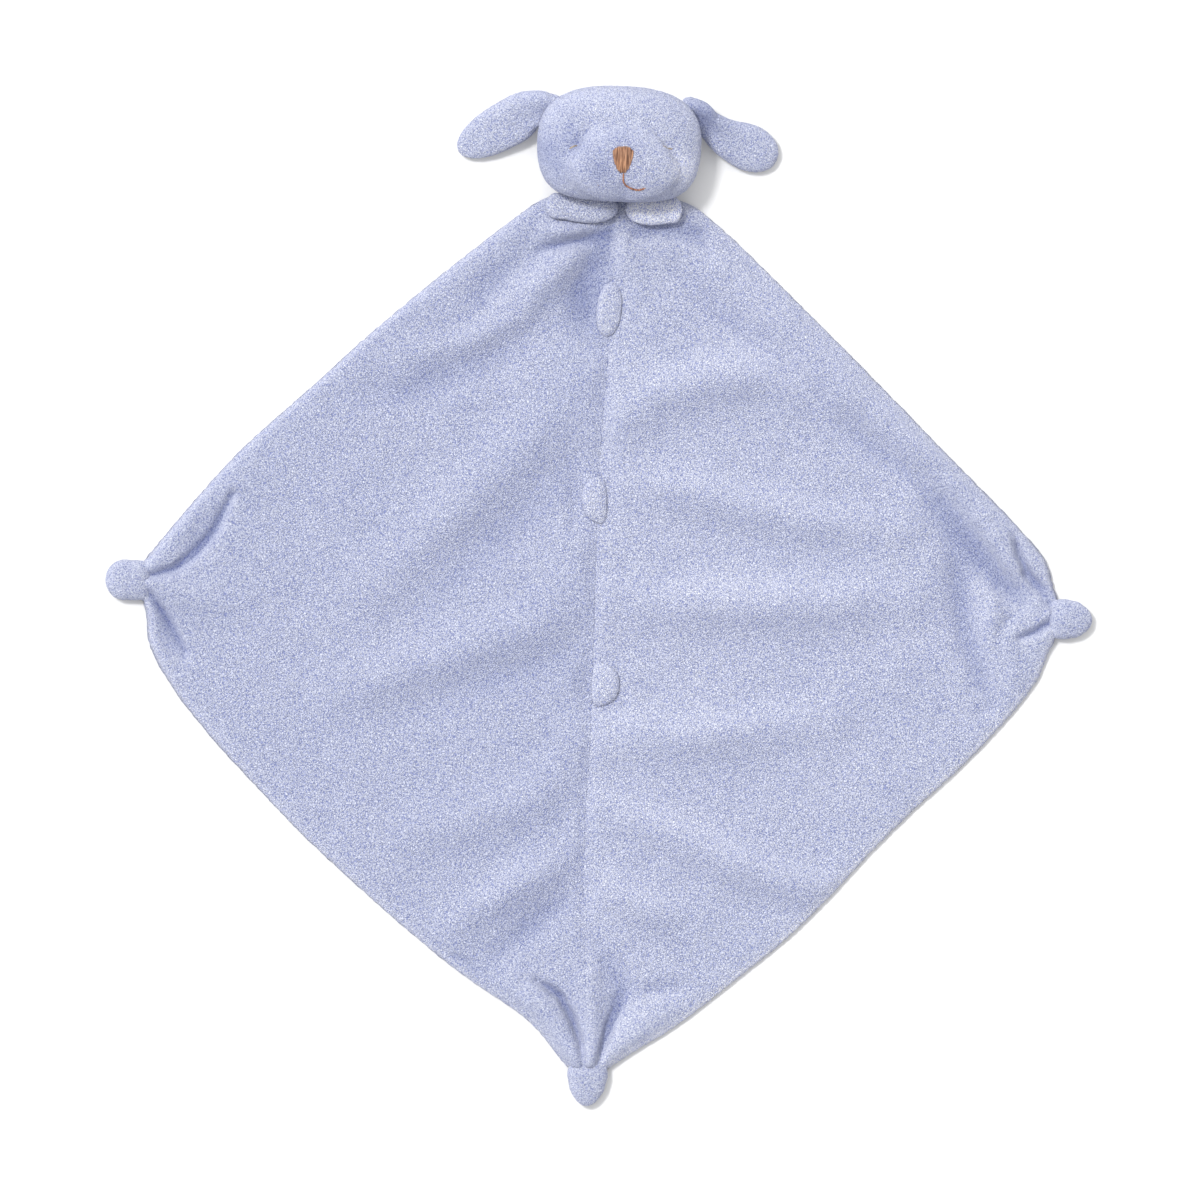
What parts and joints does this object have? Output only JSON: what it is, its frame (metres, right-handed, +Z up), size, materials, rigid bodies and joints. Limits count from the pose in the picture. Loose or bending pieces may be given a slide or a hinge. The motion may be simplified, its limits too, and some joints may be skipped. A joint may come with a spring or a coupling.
{
  "type": "comfort blanket",
  "caption": "Plush comfort blanket lying flat as a diamond, with a stuffed puppy head, floppy ears and paws on its top corner, and stuffed nubs on the other corners.",
  "frame": {"origin": "point on the table under the centre seam of the blanket, midway between its side corners, on the flat underside of the back layer", "axes": "+Z up from the table, +Y along the centre seam towards the crown of the head, +X towards the right ear as seen from above"},
  "size_m": [0.5025, 0.5189, 0.0565],
  "materials": {
    "plush": "short fuzzy plush, matt",
    "plush_back": "short fuzzy plush, matt",
    "stuffing": "loose polyester fibre",
    "sewing_thread": "twisted polyester thread",
    "nose_thread": "satin stitch, silky",
    "mouth_thread": "twisted embroidery thread",
    "eye_thread": "twisted embroidery thread"
  },
  "bodies": {
    "blanket": {"blanket_back": "plush_back", "blanket_front_left": "plush", "blanket_front_right": "plush"},
    "neck": {"neck_gather": "plush"},
    "head": {"neck_cuff": "plush", "neck_tie": "sewing_thread", "head_cover": "plush", "head_fill": "stuffing", "nose_embroidery": "nose_thread", "mouth_stitch": "mouth_thread", "eye_left_stitch": "eye_thread", "eye_right_stitch": "eye_thread"},
    "ear_left": {"ear_left_cover": "plush", "ear_left_fill": "stuffing"},
    "ear_right": {"ear_right_cover": "plush", "ear_right_fill": "stuffing"},
    "arm_left": {"arm_left_cover": "plush", "arm_left_fill": "stuffing"},
    "arm_right": {"arm_right_cover": "plush", "arm_right_fill": "stuffing"},
    "knot_left": {"knot_left_cover": "plush", "knot_left_fill": "stuffing", "knot_left_tie": "sewing_thread"},
    "knot_right": {"knot_right_cover": "plush", "knot_right_fill": "stuffing", "knot_right_tie": "sewing_thread"},
    "knot_bottom": {"knot_bottom_cover": "plush", "knot_bottom_fill": "stuffing", "knot_bottom_tie": "sewing_thread"},
    "tab_upper": {"tab_upper": "plush"},
    "tab_middle": {"tab_middle": "plush"},
    "tab_lower": {"tab_lower": "plush"}
  },
  "joints": [
    {"name": "neck_sway", "type": "hinge", "parent": "blanket", "child": "neck", "pos_m": [0.0015, 0.203, 0.00315], "axis": [0, 0, 1], "range_deg": [-10, 10]},
    {"name": "head_nod", "type": "hinge", "parent": "neck", "child": "head", "pos_m": [0.0015, 0.203, 0.00315], "axis": [1, 0, 0], "range_deg": [0, 18]},
    {"name": "ear_left_flap", "type": "hinge", "parent": "head", "child": "ear_left", "pos_m": [-0.03929, 0.24686, 0.017], "axis": [0.4693, 0.8831, 0], "range_deg": [0, 75]},
    {"name": "ear_right_flap", "type": "hinge", "parent": "head", "child": "ear_right", "pos_m": [0.04369, 0.24686, 0.017], "axis": [0.4693, -0.8831, 0], "range_deg": [0, 75]},
    {"name": "arm_left_swing", "type": "hinge", "parent": "blanket", "child": "arm_left", "pos_m": [-0.0289, 0.198, 0.0116], "axis": [0, -0.2588, -0.9659], "range_deg": [0, 50]},
    {"name": "arm_right_swing", "type": "hinge", "parent": "blanket", "child": "arm_right", "pos_m": [0.0315, 0.198, 0.0116], "axis": [0, 0.2588, 0.9659], "range_deg": [0, 50]},
    {"name": "tab_upper_flip", "type": "hinge", "parent": "blanket", "child": "tab_upper", "pos_m": [0.0047, 0.146, 0.0081], "axis": [0, 1, 0], "range_deg": [0, 130]},
    {"name": "tab_middle_flip", "type": "hinge", "parent": "blanket", "child": "tab_middle", "pos_m": [0.0011, 0.049, 0.0081], "axis": [0, 1, 0], "range_deg": [0, 130]},
    {"name": "tab_lower_flip", "type": "hinge", "parent": "blanket", "child": "tab_lower", "pos_m": [0, -0.045, 0.0081], "axis": [0, -1, 0], "range_deg": [0, 130]},
    {"name": "knot_left_lift", "type": "hinge", "parent": "blanket", "child": "knot_left", "pos_m": [-0.23655, -0.001, 0.0065], "axis": [0, 1, 0], "range_deg": [0, 60]},
    {"name": "knot_right_lift", "type": "hinge", "parent": "blanket", "child": "knot_right", "pos_m": [0.23905, -0.0027, 0.0065], "axis": [0, -1, 0], "range_deg": [0, 60]},
    {"name": "knot_bottom_lift", "type": "hinge", "parent": "blanket", "child": "knot_bottom", "pos_m": [0.0042, -0.24505, 0.0065], "axis": [-1, 0, 0], "range_deg": [0, 60]}
  ]
}
